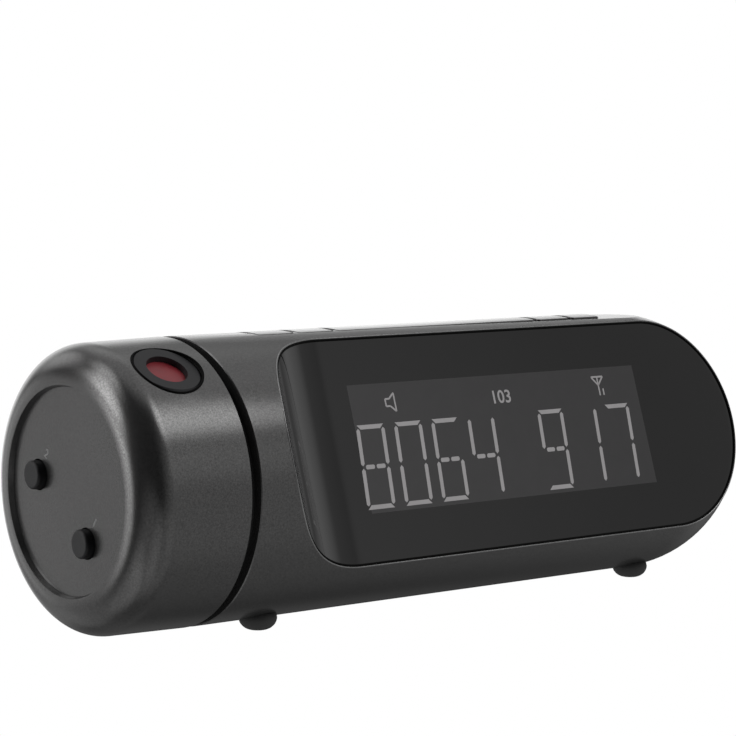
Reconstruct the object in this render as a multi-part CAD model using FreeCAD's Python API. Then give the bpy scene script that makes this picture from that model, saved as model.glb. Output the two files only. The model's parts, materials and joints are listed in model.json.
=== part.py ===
import FreeCAD, Part
import math
import os

# A projection alarm clock: a lying capsule whose left end is a turning drum with a projector.
# Sizes are millimetres. While a piece is made, X is measured from the seam face of the drum,
# and Y (to the back) and Z (up) from the long axis. save() moves it to the clock's own frame:
# origin on the table, midway along and across, +X along the body, the display towards -Y.

# Main body
BODY_R = 32.0
BODY_STRAIGHT = 132.7
SEAM_GAP = 2.2
WALL = 2.0
END_WALL = 2.5
EDGE_CHAMFER = 0.2
SPLIT_Y = 14.0
SPLIT_GAP = 0.12

# Drum with the projector, turned forward at rest, and its end disc turned a little further
DRUM_L = 26.4
DRUM_DRAFT = 1.2
DRUM_ROUND_L = 7.2
DRUM_ROUND_H = 8.4
RIM_CHAMFER = 0.3
RECESS_DEPTH = 1.2
RECESS_SLOPE = 0.45
DISC_T = 2.0
DISC_LEDGE = 2.0
DRUM_END_T = 1.8
DRUM_TURN = 31.7
DISC_TURN = 2.6

# Swivel between the drum and the body
BACK_PLATE_T = 2.0
BACK_PLATE_INSET = 0.6
NECK_CLEAR = 0.6
NECK_INSET = 0.3
SPIGOT_R = 8.0
SPIGOT_BORE_R = 6.0
SWIVEL_FIT = 0.06
HUB_R = 11.0
HUB_L = 2.6
WASHER_T = 0.8
CLIP_T = 1.0
CLIP_GROOVE = 0.6
CLIP_R = 10.6

# Projector
BEZEL_X = 11.1
BEZEL_R = 7.7
BEZEL_SINK = 0.7
BEZEL_H = 6.0
BEZEL_CHAMFER = 0.4
LENS_HOLE_R = 4.45
LENS_HOLE_FLARE = 0.15
WINDOW_DEPTH = 1.3
WINDOW_R = 5.2
WINDOW_T = 1.2
BARREL_R = 6.0
BARREL_BORE_R = 4.8
BARREL_L = 12.0
LENS_T = 4.4
LENS_RIM_T = 1.6
HOUSING_W = 11.6
HOUSING_WALL = 1.5
HOUSING_H = 12.0
SLIDE_W = 8.0
SLIDE_T = 1.2
LED_R = 2.5
LED_H = 4.0
PROJECTOR_BOARD_W = 26.0
SHELF_W = 2.5

# Push buttons on the drum's end
BUTTON_R = 3.15
BUTTON_PROUD = 2.0
BUTTON_ROUND = 0.6
BUTTON_Y = 11.4
BUTTON_Z = -4.8
BUTTON_FLANGE = 1.2
BUTTON_FLANGE_T = 1.0
BUTTON_TRAVEL = 0.8
BUTTON_SWITCH_H = 2.9

# Front panel: a flat face with a concave scoop at its left end
PANEL_TILT = 18.4
PANEL_T = 2.0
PANEL_LIP = 0.2
PANEL_GAP = 0.25
PANEL_BED = 0.2
PANEL_BED_WALL = 1.5
SCOOP_X = 34.7
SCOOP_R = 26.8
SCOOP_ANGLE = 50.7

# Display
DISPLAY_RIGHTWARD = 0.2
DISPLAY_L = 89.7
DISPLAY_H = 29.5
DISPLAY_UP = 0.2
GLASS_T = 2.2
BACKLIGHT_T = 3.5
FRAME_BORDER = 1.6
FRAME_BACK = 1.8

# Key deck on top: a shallow flat that dips to the right, under keys that follow the body's round
DECK_X = 20.0
DECK_DEPTH = 0.1
DECK_DIP = 0.32
KEY_W = 9.6
KEY_PROUD = 0.05
KEY_CORNER = 1.2
KEY_ROUND = 0.25
KEY_SPACE = 0.7
KEY_TRAVEL = 0.8
KEY_LEFT = 21.4
KEY_SHORT = 10.6
KEY_END = 9.6
KEYS_FROM_CAP = 7.8
KEY_FLANGE = 0.7
KEY_FLANGE_T = 1.15
KEY_FLANGE_CLEAR = 0.27
KEY_SWITCH_H = 1.8
KEY_BOARD_EDGE = 0.6
SWITCH_W = 6.0
PLUNGER_H = 0.6

# Rubber feet
FOOT_R = 4.0
FOOT_ROUND = 1.3
FOOT_STAND = 1.4
FOOT_SOCKET = 4.0
FOOT_Y = 9.0
FOOT_LEFT_X = 18.2
FOOT_FROM_CAP = 1.1
FOOT_PIN_R = 1.5
FOOT_BOSS = 1.6
FOOT_BOSS_H = 2.9

# Boards and screws
BOARD_T = 1.6
MAIN_BOARD_IN = 26.0
MAIN_BOARD_X0 = 14.0
MAIN_BOARD_PAST_CAP = 10.0
MAIN_BOARD_CLEAR = 1.5
STANDOFF_R = 2.5
STANDOFF_INSET = 6.0
SCREW_R = 1.1
SCREW_HEAD_R = 2.4
SCREW_HEAD_H = 1.2
SCREW_BOSS_R = 3.0
BOARD_SCREW_L = 5.0
DRUM_SCREW_L = 6.0

# Rear cover screws: along Y near the top and the bottom
COVER_SCREW_IN = 4.5
COVER_SCREW_SINK = 3.0
COVER_SCREW_L = 10.0
COVER_BOSS_FRONT = -5.0
COVER_SCREW_TOP_LEFT = 9.5
COVER_SCREW_TOP_PAST_CAP = 4.6
COVER_SCREW_LOW_LEFT = 27.0
COVER_SCREW_LOW_FROM_CAP = 9.9

# Speaker behind a slotted grille in the rear cover
SPEAKER_FROM_CAP = 35.9
SPEAKER_R = 18.0
SPEAKER_IN = 10.0
SPEAKER_FLANGE_T = 1.5
SPEAKER_DEPTH = 12.4
MAGNET_R = 10.5
MAGNET_T = 4.5
CONE_T = 0.6
SURROUND_W = 2.0
GRILLE_R = 15.0
GRILLE_SLOT = 1.8
GRILLE_PITCH = 3.8
GRILLE_SLOTS = 7

# Sockets in a bay of the rear cover
BAY_MARGIN = 8.0
BAY_BELOW = 13.0
BAY_H = 11.0
BAY_IN = 7.0
JACK_X = 28.0
SOCKET_PITCH = 15.0
SOCKET_L = 13.0
SOCKET_BOARD_CLEAR = 0.8
JACK_R = 4.6
JACK_BORE_R = 2.75
JACK_PIN_R = 1.0
JACK_DEPTH = 9.0
JACK_BODY = 9.0
USB_W = 12.6
USB_H = 5.1
USB_WALL = 0.4
USB_DEPTH = 11.0
USB_TONGUE_T = 1.6
USB_TONGUE_IN = 1.5
USB_LEG_W = 1.5
GLAND_X = 60.0
GLAND_R = 4.0
GLAND_NECK_R = 2.5
GLAND_BORE_R = 1.1
GLAND_SINK = 0.8
GLAND_BARB = 0.8

# Radio shield on the main board
SHIELD_W = 22.0
SHIELD_H = 18.0
SHIELD_UP = 5.0
SHIELD_T = 1.8

# Back-up cell under a screwed cover in the base
CELL_R = 10.0
CELL_H = 3.2
CELL_X = 74.0
CELL_CLEAR = 0.9
DOOR_MARGIN = 4.0
DOOR_SIDE = 1.0
DOOR_GAP = 0.25
WELL_ROOM = 3.2
WELL_WALL = 1.5
DOOR_SCREW_FROM_CELL = 5.6
DOOR_RIB = 2.0
DOOR_TAB_W = 8.0
DOOR_TAB_T = 2.1
DOOR_SCREW_L = 6.0
STRIP_T = 0.3

# Clearances
SLIDE_FIT = 0.3
SEAT_GAP = 0.05
PART_GAP = 0.1

# Derived places
SLOPE = math.tan(math.radians(DRUM_DRAFT))
CAP_X = SEAM_GAP + BODY_STRAIGHT
INNER_R = BODY_R - WALL
RIGHT_END = CAP_X + BODY_R
DRUM_RIM_R = BODY_R - SLOPE * (DRUM_L - DRUM_ROUND_L) - DRUM_ROUND_H
RECESS_FLOOR_R = DRUM_RIM_R - RIM_CHAMFER - RECESS_SLOPE
NECK_R = INNER_R - NECK_CLEAR
BEZEL_TOP = BODY_R - BEZEL_SINK
POCKET_D = PANEL_T + PANEL_BED
FRONT_WALL_D = POCKET_D + PANEL_BED_WALL
DISPLAY_X = (SCOOP_X + CAP_X) / 2 + DISPLAY_RIGHTWARD
DECK_HEIGHT = BODY_R - DECK_DEPTH
KEYS_RIGHT = CAP_X - KEYS_FROM_CAP
SNOOZE_L = KEYS_RIGHT - KEY_LEFT - 3 * KEY_SHORT - KEY_END - 4 * KEY_SPACE
KEY_HALF_FLANGE = KEY_W / 2 + KEY_FLANGE
KEY_FLANGE_TOP = math.sqrt(INNER_R ** 2 - KEY_HALF_FLANGE ** 2) - SLIDE_FIT
KEY_FLANGE_DROP = DECK_HEIGHT - KEY_FLANGE_TOP
TILT = math.radians(PANEL_TILT)
KEY_FLANGE_REACH = KEY_HALF_FLANGE * math.cos(TILT) + KEY_FLANGE_TOP * math.sin(TILT)
PANEL_D = KEY_FLANGE_REACH + KEY_FLANGE_CLEAR + FRONT_WALL_D
KEY_SWITCH_TOP = KEY_FLANGE_DROP + KEY_FLANGE_T + KEY_TRAVEL + SLIDE_FIT / 2
KEY_BOARD_DROP = KEY_SWITCH_TOP + KEY_SWITCH_H
FOOT_RIGHT_X = CAP_X - FOOT_FROM_CAP
COVER_SCREW_Z = INNER_R - COVER_SCREW_IN
COVER_SCREW_SEAT = math.sqrt(BODY_R ** 2 - COVER_SCREW_Z ** 2) - COVER_SCREW_SINK
SPEAKER_X = CAP_X - SPEAKER_FROM_CAP
SPEAKER_Y = BODY_R - SPEAKER_IN
USB_X = JACK_X + SOCKET_PITCH
BAY_X0 = JACK_X - BAY_MARGIN
BAY_X1 = USB_X + BAY_MARGIN + 1
BAY_Z0 = BAY_BELOW - BODY_R
BAY_Z1 = BAY_Z0 + BAY_H
BAY_Y = BODY_R - BAY_IN
SOCKET_BACK = BAY_Y - SOCKET_L
DOOR_SCREW_X = CELL_X + CELL_R + DOOR_SCREW_FROM_CELL
DOOR_X0 = CELL_X - CELL_R - DOOR_MARGIN
DOOR_X1 = DOOR_SCREW_X + DOOR_MARGIN
DOOR_HALF_W = CELL_R + DOOR_SIDE
CELL_Z = CELL_CLEAR - math.sqrt(INNER_R ** 2 - CELL_R ** 2)
WELL_TOP = CELL_Z + CELL_H + WELL_ROOM
MAIN_BOARD_Y = BODY_R - MAIN_BOARD_IN
MAIN_BOARD_X1 = CAP_X + MAIN_BOARD_PAST_CAP
MAIN_BOARD_Z0 = WELL_TOP + WELL_WALL + MAIN_BOARD_CLEAR
MAIN_BOARD_Z1 = DECK_HEIGHT - KEY_BOARD_DROP - BOARD_T - 2 * MAIN_BOARD_CLEAR
DISC_FACE = -(DRUM_L - RECESS_DEPTH)
LEFT_END = DISC_FACE - BUTTON_PROUD
MIDDLE_X = (LEFT_END + RIGHT_END) / 2
AXIS_HEIGHT = BODY_R + FOOT_STAND
FOOT_BOTTOM = -AXIS_HEIGHT
REACH = 2 * BODY_R
BACK_PLATE_X = -BACK_PLATE_INSET
X_AXIS = FreeCAD.Vector(1, 0, 0)
Y_AXIS = FreeCAD.Vector(0, 1, 0)
Z_AXIS = FreeCAD.Vector(0, 0, 1)
ORIGIN = FreeCAD.Vector(0, 0, 0)


def vec(x, y, z):
    return FreeCAD.Vector(x, y, z)


def box(x, y, z):
    """A block between the two values of each pair."""
    corner = vec(min(x), min(y), min(z))
    return Part.makeBox(max(x) - min(x), max(y) - min(y), max(z) - min(z), corner)


def rod_x(radius, x0, x1, y=0.0, z=0.0):
    return Part.makeCylinder(radius, x1 - x0, vec(x0, y, z), X_AXIS)


def rod_y(radius, y0, y1, x=0.0, z=0.0):
    return Part.makeCylinder(radius, y1 - y0, vec(x, y0, z), Y_AXIS)


def rod_z(radius, z0, z1, x=0.0, y=0.0):
    return Part.makeCylinder(radius, z1 - z0, vec(x, y, z0), Z_AXIS)


def tube_x(outer, inner, x0, x1):
    return rod_x(outer, x0, x1).cut(rod_x(inner, x0 - 1, x1 + 1))


def fuse(first, *others):
    return first.multiFuse(list(others)).removeSplitter()


def cut(shape, *tools):
    for tool in tools:
        shape = shape.cut(tool)
    return shape


def outline(points):
    """A closed face through points of the XZ plane."""
    corners = [vec(x, 0, z) for x, z in points]
    return Part.Face(Part.makePolygon(corners + corners[:1]))


def turned(points, axis=X_AXIS):
    """A solid of revolution of (x, z) points about one of the XZ plane's axes."""
    return outline(points).revolve(ORIGIN, axis, 360)


def edges_where(shape, test):
    """The edges of a shape whose bounding box passes the test."""
    return [edge for edge in shape.Edges if test(edge.BoundBox)]


def flat_at(value, low, high):
    return abs(low - value) < 1e-4 and abs(high - value) < 1e-4


def capsule(radius, start):
    """The body's straight stretch from start, with its round right end."""
    return fuse(rod_x(radius, start, CAP_X), Part.makeSphere(radius, vec(CAP_X, 0, 0)))


def tilt(shape):
    """Turns a piece made facing -Y up to the slope of the front panel."""
    return shape.rotated(ORIGIN, X_AXIS, -PANEL_TILT)


def on_drum(shape):
    """Turns a piece made with the lens straight up to the drum's rest position."""
    return shape.rotated(ORIGIN, X_AXIS, DRUM_TURN)


def on_disc(shape):
    """Turns a piece of the drum's end disc, made with its buttons level, to its rest position."""
    return shape.rotated(ORIGIN, X_AXIS, DRUM_TURN + DISC_TURN)


def on_deck(shape):
    """Carries a piece made on Z = 0 to the dipping key deck."""
    shape = shape.rotated(ORIGIN, Y_AXIS, DECK_DIP)
    return shape.translated(vec(DECK_X, 0, DECK_HEIGHT))


def save(name, shape):
    """Moves a piece to the clock's frame and writes it."""
    shape = shape.translated(vec(-MIDDLE_X, 0, AXIS_HEIGHT))
    if not shape.isValid() or shape.Volume < 0.01:
        raise ValueError(name + " is not a good solid")
    shape.exportStep("parts/" + name + ".step")
    print(name, len(shape.Solids), round(shape.Volume, 1))


def screw(head, direction, length):
    """A pan head with its seat at head, and a shank along direction."""
    shank = Part.makeCylinder(SCREW_R, length, head, direction)
    cap = Part.makeCylinder(SCREW_HEAD_R, SCREW_HEAD_H, head, direction * -1)
    return fuse(shank, cap)


# Front panel surfaces, made facing -Y and extruded along Z

def beyond_panel(depth):
    """All space in front of the panel's face, or of that face set back by depth."""
    level = PANEL_D - depth
    centre_y = -(PANEL_D + SCOOP_R)
    radius = SCOOP_R + depth
    angle = math.radians(SCOOP_ANGLE)
    top = vec(SCOOP_X, -level, 0)
    middle = vec(SCOOP_X - radius * math.sin(angle / 2), centre_y + radius * math.cos(angle / 2), 0)
    low = vec(SCOOP_X - radius * math.sin(angle), centre_y + radius * math.cos(angle), 0)
    run = (REACH + low.y) / math.tan(angle)
    far = vec(low.x - run, -REACH, 0)
    edges = [
        Part.makeLine(vec(RIGHT_END + REACH, -level, 0), top),
        Part.Arc(top, middle, low).toShape(),
        Part.makeLine(low, far),
        Part.makeLine(far, vec(RIGHT_END + REACH, -REACH, 0)),
        Part.makeLine(vec(RIGHT_END + REACH, -REACH, 0), vec(RIGHT_END + REACH, -level, 0)),
    ]
    face = Part.Face(Part.Wire(edges))
    return face.extrude(vec(0, 0, 2 * REACH)).translated(vec(0, 0, -REACH))


def scoop_point(radius, share):
    """A point of the line where the scoop meets a cylinder, share 0 at the flat and 1 at mid-height."""
    angle = math.radians(SCOOP_ANGLE)
    rise_arc = SCOOP_R * (1 - math.cos(angle))
    half = math.acos(PANEL_D / radius) * (1 - share)
    height = max(radius * math.cos(half) - PANEL_D, 0.0)
    if height <= rise_arc:
        turn = math.acos(1 - height / SCOOP_R)
        x = SCOOP_X - SCOOP_R * math.sin(turn)
    else:
        x = SCOOP_X - SCOOP_R * math.sin(angle) - (height - rise_arc) / math.tan(angle)
    return x, radius * math.sin(half)


def panel_prism(inset):
    """The panel's outline, set in from the body's skin, as a prism through the front."""
    radius = BODY_R - inset
    half = math.sqrt(radius ** 2 - PANEL_D ** 2)
    steps = 8
    upper = [scoop_point(radius, i / steps) for i in range(steps + 1)]
    points = [vec(x, 0, s) for x, s in upper]
    points += [vec(x, 0, -s) for x, s in reversed(upper[:-1])]
    curve = Part.BSplineCurve()
    curve.interpolate(points)
    edges = [
        curve.toShape(),
        Part.makeLine(points[-1], vec(CAP_X, 0, -half)),
        Part.Arc(vec(CAP_X, 0, -half), vec(CAP_X + half, 0, 0), vec(CAP_X, 0, half)).toShape(),
        Part.makeLine(vec(CAP_X, 0, half), points[0]),
    ]
    face = Part.Face(Part.Wire(edges))
    return face.extrude(vec(0, -REACH, 0))


def display_block(border, depth0, depth1):
    """A block around the display, between two depths behind the panel's face."""
    return box(
        (DISPLAY_X - DISPLAY_L / 2 - border, DISPLAY_X + DISPLAY_L / 2 + border),
        (-(PANEL_D - depth0), -(PANEL_D - depth1)),
        (DISPLAY_UP - DISPLAY_H / 2 - border, DISPLAY_UP + DISPLAY_H / 2 + border),
    )


def make_front_panel():
    band = beyond_panel(PANEL_T).cut(beyond_panel(0))
    return tilt(band.common(panel_prism(PANEL_LIP + PANEL_GAP)))


def make_display():
    glass_back = POCKET_D + GLASS_T
    guide_back = glass_back + PART_GAP + BACKLIGHT_T
    frame_front = FRONT_WALL_D + PART_GAP
    frame_back = guide_back + FRAME_BACK
    glass = display_block(0, POCKET_D, glass_back)
    guide = display_block(0, glass_back + PART_GAP, guide_back)
    frame = display_block(FRAME_BORDER, frame_front, frame_back)
    frame = frame.cut(display_block(PART_GAP, frame_front - 1, guide_back + SEAT_GAP))
    board = display_block(FRAME_BORDER, frame_back + SEAT_GAP, frame_back + SEAT_GAP + BOARD_T)
    save("lcd_glass", tilt(glass))
    save("lcd_backlight", tilt(guide))
    save("lcd_frame", tilt(frame))
    save("display_board", tilt(board))


# Keys of the top deck

def key_spans():
    """The start and end of each key along the deck, left to right."""
    spans = []
    start = KEY_LEFT - DECK_X
    for length in (KEY_SHORT, KEY_SHORT, SNOOZE_L, KEY_SHORT, KEY_END):
        spans.append((start, start + length))
        start += length + KEY_SPACE
    return spans


def key_block(span, grow, low, high):
    block = box((span[0] - grow, span[1] + grow), (-KEY_W / 2 - grow, KEY_W / 2 + grow), (low, high))
    upright = edges_where(block, lambda b: b.ZLength > (high - low) / 2)
    return block.makeFillet(KEY_CORNER + min(grow, 0), upright)


def make_key(span):
    top = rod_x(BODY_R + KEY_PROUD, 0, CAP_X).rotated(ORIGIN, X_AXIS, 180)
    cap = on_deck(key_block(span, -SLIDE_FIT, -KEY_FLANGE_DROP, WALL)).common(top)
    rim = edges_where(cap, lambda b: b.ZMin > BODY_R - WALL / 2)
    cap = cap.makeFillet(KEY_ROUND, rim)
    flange = box(
        (span[0] + SLIDE_FIT, span[1] - SLIDE_FIT),
        (-KEY_HALF_FLANGE, KEY_HALF_FLANGE),
        (-KEY_FLANGE_DROP - KEY_FLANGE_T, -KEY_FLANGE_DROP),
    )
    return fuse(cap, on_deck(flange))


def key_board_span():
    spans = key_spans()
    margin = STANDOFF_R + FOOT_ROUND
    return spans[0][0] - 2 * margin, spans[-1][1] + 2 * margin


def key_posts():
    """The two posts that hang the key board under the deck."""
    start, end = key_board_span()
    posts = [
        rod_z(STANDOFF_R, -KEY_BOARD_DROP, 0, start + STANDOFF_R),
        rod_z(STANDOFF_R, -KEY_BOARD_DROP, 0, end - STANDOFF_R),
    ]
    return [on_deck(post) for post in posts]


def make_keys():
    spans = key_spans()
    names = ("key_1", "key_2", "snooze_bar", "key_3", "key_4")
    for name, span in zip(names, spans):
        save(name, make_key(span))
    start, end = key_board_span()
    half = KEY_W / 2 + KEY_BOARD_EDGE
    board_top = -KEY_BOARD_DROP
    board = box((start, end), (-half, half), (board_top - BOARD_T, board_top - SEAT_GAP))
    save("key_board", on_deck(board))
    top = -KEY_SWITCH_TOP
    switches = []
    for index, span in enumerate(spans):
        middle = (span[0] + span[1]) / 2
        spread = (span[1] - span[0]) / 4 if index == 2 else 0
        places = [middle - spread, middle + spread] if spread else [middle]
        for place in places:
            sides = (place - SWITCH_W / 2, place + SWITCH_W / 2)
            base = box(sides, (-SWITCH_W / 2, SWITCH_W / 2), (board_top, top - PLUNGER_H))
            plunger = rod_z(SWITCH_W / 4, top - PLUNGER_H, top, place)
            switches.append(on_deck(fuse(base, plunger)))
    save("key_switches", Part.makeCompound(switches))


# Body shells

def foot_places():
    return [(x, y) for x in (FOOT_LEFT_X, FOOT_RIGHT_X) for y in (-FOOT_Y, FOOT_Y)]


def cover_screw_places():
    top = [(x, COVER_SCREW_Z) for x in (COVER_SCREW_TOP_LEFT, CAP_X + COVER_SCREW_TOP_PAST_CAP)]
    low = [(x, -COVER_SCREW_Z) for x in (COVER_SCREW_LOW_LEFT, CAP_X - COVER_SCREW_LOW_FROM_CAP)]
    return top + low


def standoff_places():
    xs = (MAIN_BOARD_X0 + STANDOFF_INSET, MAIN_BOARD_X1 - STANDOFF_INSET)
    zs = (MAIN_BOARD_Z0 + STANDOFF_INSET / 2, MAIN_BOARD_Z1 - STANDOFF_INSET / 2)
    return [(x, z) for x in xs for z in zs]


def bay_block(grow, back):
    """The socket bay, or the block of wall around it, from a depth outwards."""
    return box((BAY_X0 - grow, BAY_X1 + grow), (back, REACH), (BAY_Z0 - grow, BAY_Z1 + grow))


def make_hollow():
    """The space inside the shells."""
    start = SEAM_GAP + END_WALL
    space = capsule(INNER_R, start)
    space = space.cut(tilt(beyond_panel(FRONT_WALL_D)))
    well = box(
        (DOOR_X0 - WELL_WALL, DOOR_X1 + WELL_WALL),
        (-DOOR_HALF_W - WELL_WALL, DOOR_HALF_W + WELL_WALL),
        (FOOT_BOTTOM, WELL_TOP + WELL_WALL),
    )
    return cut(space, well, bay_block(WALL, BAY_Y - WALL))


def make_skin():
    """The whole shell with its display pocket, key deck, feet seats and cell well."""
    skin = capsule(BODY_R, SEAM_GAP)
    rim = edges_where(skin, lambda b: flat_at(SEAM_GAP, b.XMin, b.XMax))
    skin = skin.makeChamfer(EDGE_CHAMFER, rim)
    deck = box((-REACH, RIGHT_END + REACH), (-BODY_R, BODY_R), (0, BODY_R))
    pocket = beyond_panel(POCKET_D).common(panel_prism(PANEL_LIP))
    skin = cut(skin, tilt(beyond_panel(0)), tilt(pocket), on_deck(deck))
    hollow = make_hollow()
    inside = []
    for x, y in foot_places():
        boss_top = FOOT_BOTTOM + FOOT_SOCKET + FOOT_BOSS_H
        inside.append(rod_z(FOOT_R + FOOT_BOSS, FOOT_BOTTOM + FOOT_STAND, boss_top, x, y))
    for x, z in cover_screw_places():
        inside.append(rod_y(SCREW_BOSS_R, COVER_BOSS_FRONT, BODY_R, x, z))
    for x, z in standoff_places():
        inside.append(rod_y(STANDOFF_R, -BODY_R, MAIN_BOARD_Y, x, z))
    inside += key_posts()
    ring = rod_y(SPEAKER_R + WALL, SPEAKER_Y + SEAT_GAP, BODY_R, SPEAKER_X)
    inside.append(ring.cut(rod_y(SPEAKER_R - SURROUND_W, 0, BODY_R, SPEAKER_X)))
    door_boss = rod_z(SCREW_BOSS_R, -INNER_R + WALL / 2, WELL_TOP + 1, DOOR_SCREW_X)
    hollow = hollow.cut(Part.makeCompound(inside))
    skin = skin.cut(hollow)
    swivel_hole = rod_x(HUB_R + PART_GAP, 0, SEAM_GAP + END_WALL + 1)
    window = display_block(PART_GAP, PANEL_T, FRONT_WALL_D + 1)
    door = door_opening(0)
    cell_space = box((DOOR_X0, DOOR_X1), (-DOOR_HALF_W, DOOR_HALF_W), (FOOT_BOTTOM, WELL_TOP))
    cell_space = cell_space.common(rod_x(INNER_R, DOOR_X0 - 1, DOOR_X1 + 1)).cut(door_boss)
    tools = [swivel_hole, tilt(window), door, cell_space, bay_block(0, BAY_Y)]
    for span in key_spans():
        tools.append(on_deck(key_block(span, 0, -KEY_BOARD_DROP / 2, BODY_R)))
    for x, y in foot_places():
        tools.append(rod_z(FOOT_R + PART_GAP, FOOT_BOTTOM, FOOT_BOTTOM + FOOT_SOCKET, x, y))
        tools.append(rod_z(FOOT_PIN_R + SEAT_GAP, FOOT_BOTTOM, 0, x, y).common(boss_reach(x, y)))
    tools.append(rod_z(SCREW_R + SEAT_GAP, -INNER_R, WELL_TOP - 1, DOOR_SCREW_X))
    return cut(skin, *tools)


def boss_reach(x, y):
    """The height through which a foot's pin hole runs."""
    top = FOOT_BOTTOM + FOOT_SOCKET + FOOT_BOSS_H + SEAT_GAP
    return rod_z(FOOT_R, FOOT_BOTTOM, top, x, y)


def door_opening(gap):
    """The hole in the skin for the cell cover, or the cover's own outline."""
    block = box(
        (DOOR_X0 + gap, DOOR_X1 - gap),
        (-DOOR_HALF_W + gap, DOOR_HALF_W - gap),
        (FOOT_BOTTOM, WELL_TOP),
    )
    skin = tube_x(BODY_R if gap else BODY_R + 1, INNER_R, DOOR_X0 - 1, DOOR_X1 + 1)
    return block.common(skin)


def make_shells():
    skin = make_skin()
    front_side = box((-REACH, RIGHT_END + REACH), (-REACH, SPLIT_Y), (-REACH, REACH))
    back_side = box((-REACH, RIGHT_END + REACH), (SPLIT_Y + SPLIT_GAP, REACH), (-REACH, REACH))
    front = skin.common(front_side)
    back = skin.common(back_side)
    for x, z in standoff_places():
        front = front.cut(rod_y(SCREW_R + SEAT_GAP, MAIN_BOARD_Y - BOARD_SCREW_L, MAIN_BOARD_Y + 1, x, z))
    for x, z in cover_screw_places():
        bottom = COVER_SCREW_SEAT - COVER_SCREW_L - 1
        front = front.cut(rod_y(SCREW_R + SEAT_GAP, bottom, SPLIT_Y + 1, x, z))
        back = back.cut(rod_y(SCREW_R + PART_GAP, SPLIT_Y - 1, BODY_R, x, z))
        back = back.cut(rod_y(SCREW_HEAD_R + PART_GAP, COVER_SCREW_SEAT, BODY_R, x, z))
    for index in range(GRILLE_SLOTS):
        offset = (index - (GRILLE_SLOTS - 1) / 2) * GRILLE_PITCH
        half = math.sqrt(GRILLE_R ** 2 - offset ** 2)
        x = SPEAKER_X + offset
        slot = box((x - GRILLE_SLOT / 2, x + GRILLE_SLOT / 2), (SPEAKER_Y, REACH), (-half, half))
        back = back.cut(slot)
    z_mid = (BAY_Z0 + BAY_Z1) / 2
    back = back.cut(rod_y(JACK_R + PART_GAP, SPLIT_Y, REACH, JACK_X, z_mid))
    usb_hole = box(
        (USB_X - USB_W / 2 - PART_GAP, USB_X + USB_W / 2 + PART_GAP),
        (SPLIT_Y, REACH),
        (z_mid - USB_H / 2 - PART_GAP, z_mid + USB_H / 2 + PART_GAP),
    )
    back = back.cut(usb_hole)
    gland_seat = BODY_R - GLAND_SINK
    back = back.cut(rod_y(GLAND_R + PART_GAP, gland_seat, REACH, GLAND_X))
    back = back.cut(rod_y(GLAND_NECK_R + PART_GAP, SPLIT_Y, REACH, GLAND_X))
    save("main_shell", front)
    save("rear_cover", back)


def make_feet():
    names = ("foot_front_left", "foot_rear_left", "foot_front_right", "foot_rear_right")
    seat = FOOT_BOTTOM + FOOT_SOCKET
    for name, (x, y) in zip(names, foot_places()):
        pad = rod_z(FOOT_R, FOOT_BOTTOM, seat, x, y)
        rim = edges_where(pad, lambda b: flat_at(FOOT_BOTTOM, b.ZMin, b.ZMax))
        pad = pad.makeFillet(FOOT_ROUND, rim)
        save(name, fuse(pad, rod_z(FOOT_PIN_R, seat, seat + FOOT_BOSS_H - PART_GAP, x, y)))


def make_cell():
    door = door_opening(DOOR_GAP)
    ribs = []
    bury = WALL / 4
    for x in (CELL_X - CELL_R / 2, CELL_X + CELL_R / 2):
        sides = (x - DOOR_RIB / 2, x + DOOR_RIB / 2)
        ribs.append(box(sides, (-CELL_R / 2, CELL_R / 2), (-INNER_R - bury, CELL_Z - SEAT_GAP)))
    tab_z = (-INNER_R - bury, -INNER_R - bury + DOOR_TAB_T)
    tab = box((DOOR_X0 + PART_GAP, DOOR_X0 + DOOR_MARGIN), (-DOOR_TAB_W / 2, DOOR_TAB_W / 2), tab_z)
    door = fuse(door, tab, *ribs)
    seat = -BODY_R + SCREW_HEAD_H
    door = door.cut(rod_z(SCREW_R + PART_GAP, -REACH, 0, DOOR_SCREW_X))
    door = door.cut(rod_z(SCREW_HEAD_R + PART_GAP, -REACH, seat, DOOR_SCREW_X))
    save("battery_cover", door)
    save("battery_cover_screw", screw(vec(DOOR_SCREW_X, 0, seat), Z_AXIS, DOOR_SCREW_L))
    cell = rod_z(CELL_R, CELL_Z, CELL_Z + CELL_H, CELL_X)
    save("coin_cell", cell.makeChamfer(STRIP_T, edges_where(cell, lambda b: b.ZLength < 1e-3)))
    top = CELL_Z + CELL_H + SEAT_GAP
    roof = WELL_TOP - SEAT_GAP
    width = CELL_R / 3
    upper = box((CELL_X - width, CELL_X + width), (-width / 2, width / 2), (roof - STRIP_T, roof))
    drop = box((CELL_X + width - STRIP_T, CELL_X + width), (-width / 2, width / 2), (top, roof))
    press = box((CELL_X, CELL_X + width), (-width / 2, width / 2), (top, top + STRIP_T))
    side_x = CELL_X + CELL_R + SEAT_GAP
    side = box((side_x, side_x + STRIP_T), (-width, width), (CELL_Z, roof))
    foot = box((side_x, side_x + width / 2), (-width, width), (roof - STRIP_T, roof))
    save("battery_contacts", Part.makeCompound([fuse(upper, drop, press), fuse(side, foot)]))


# Boards, speaker and sockets

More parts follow.
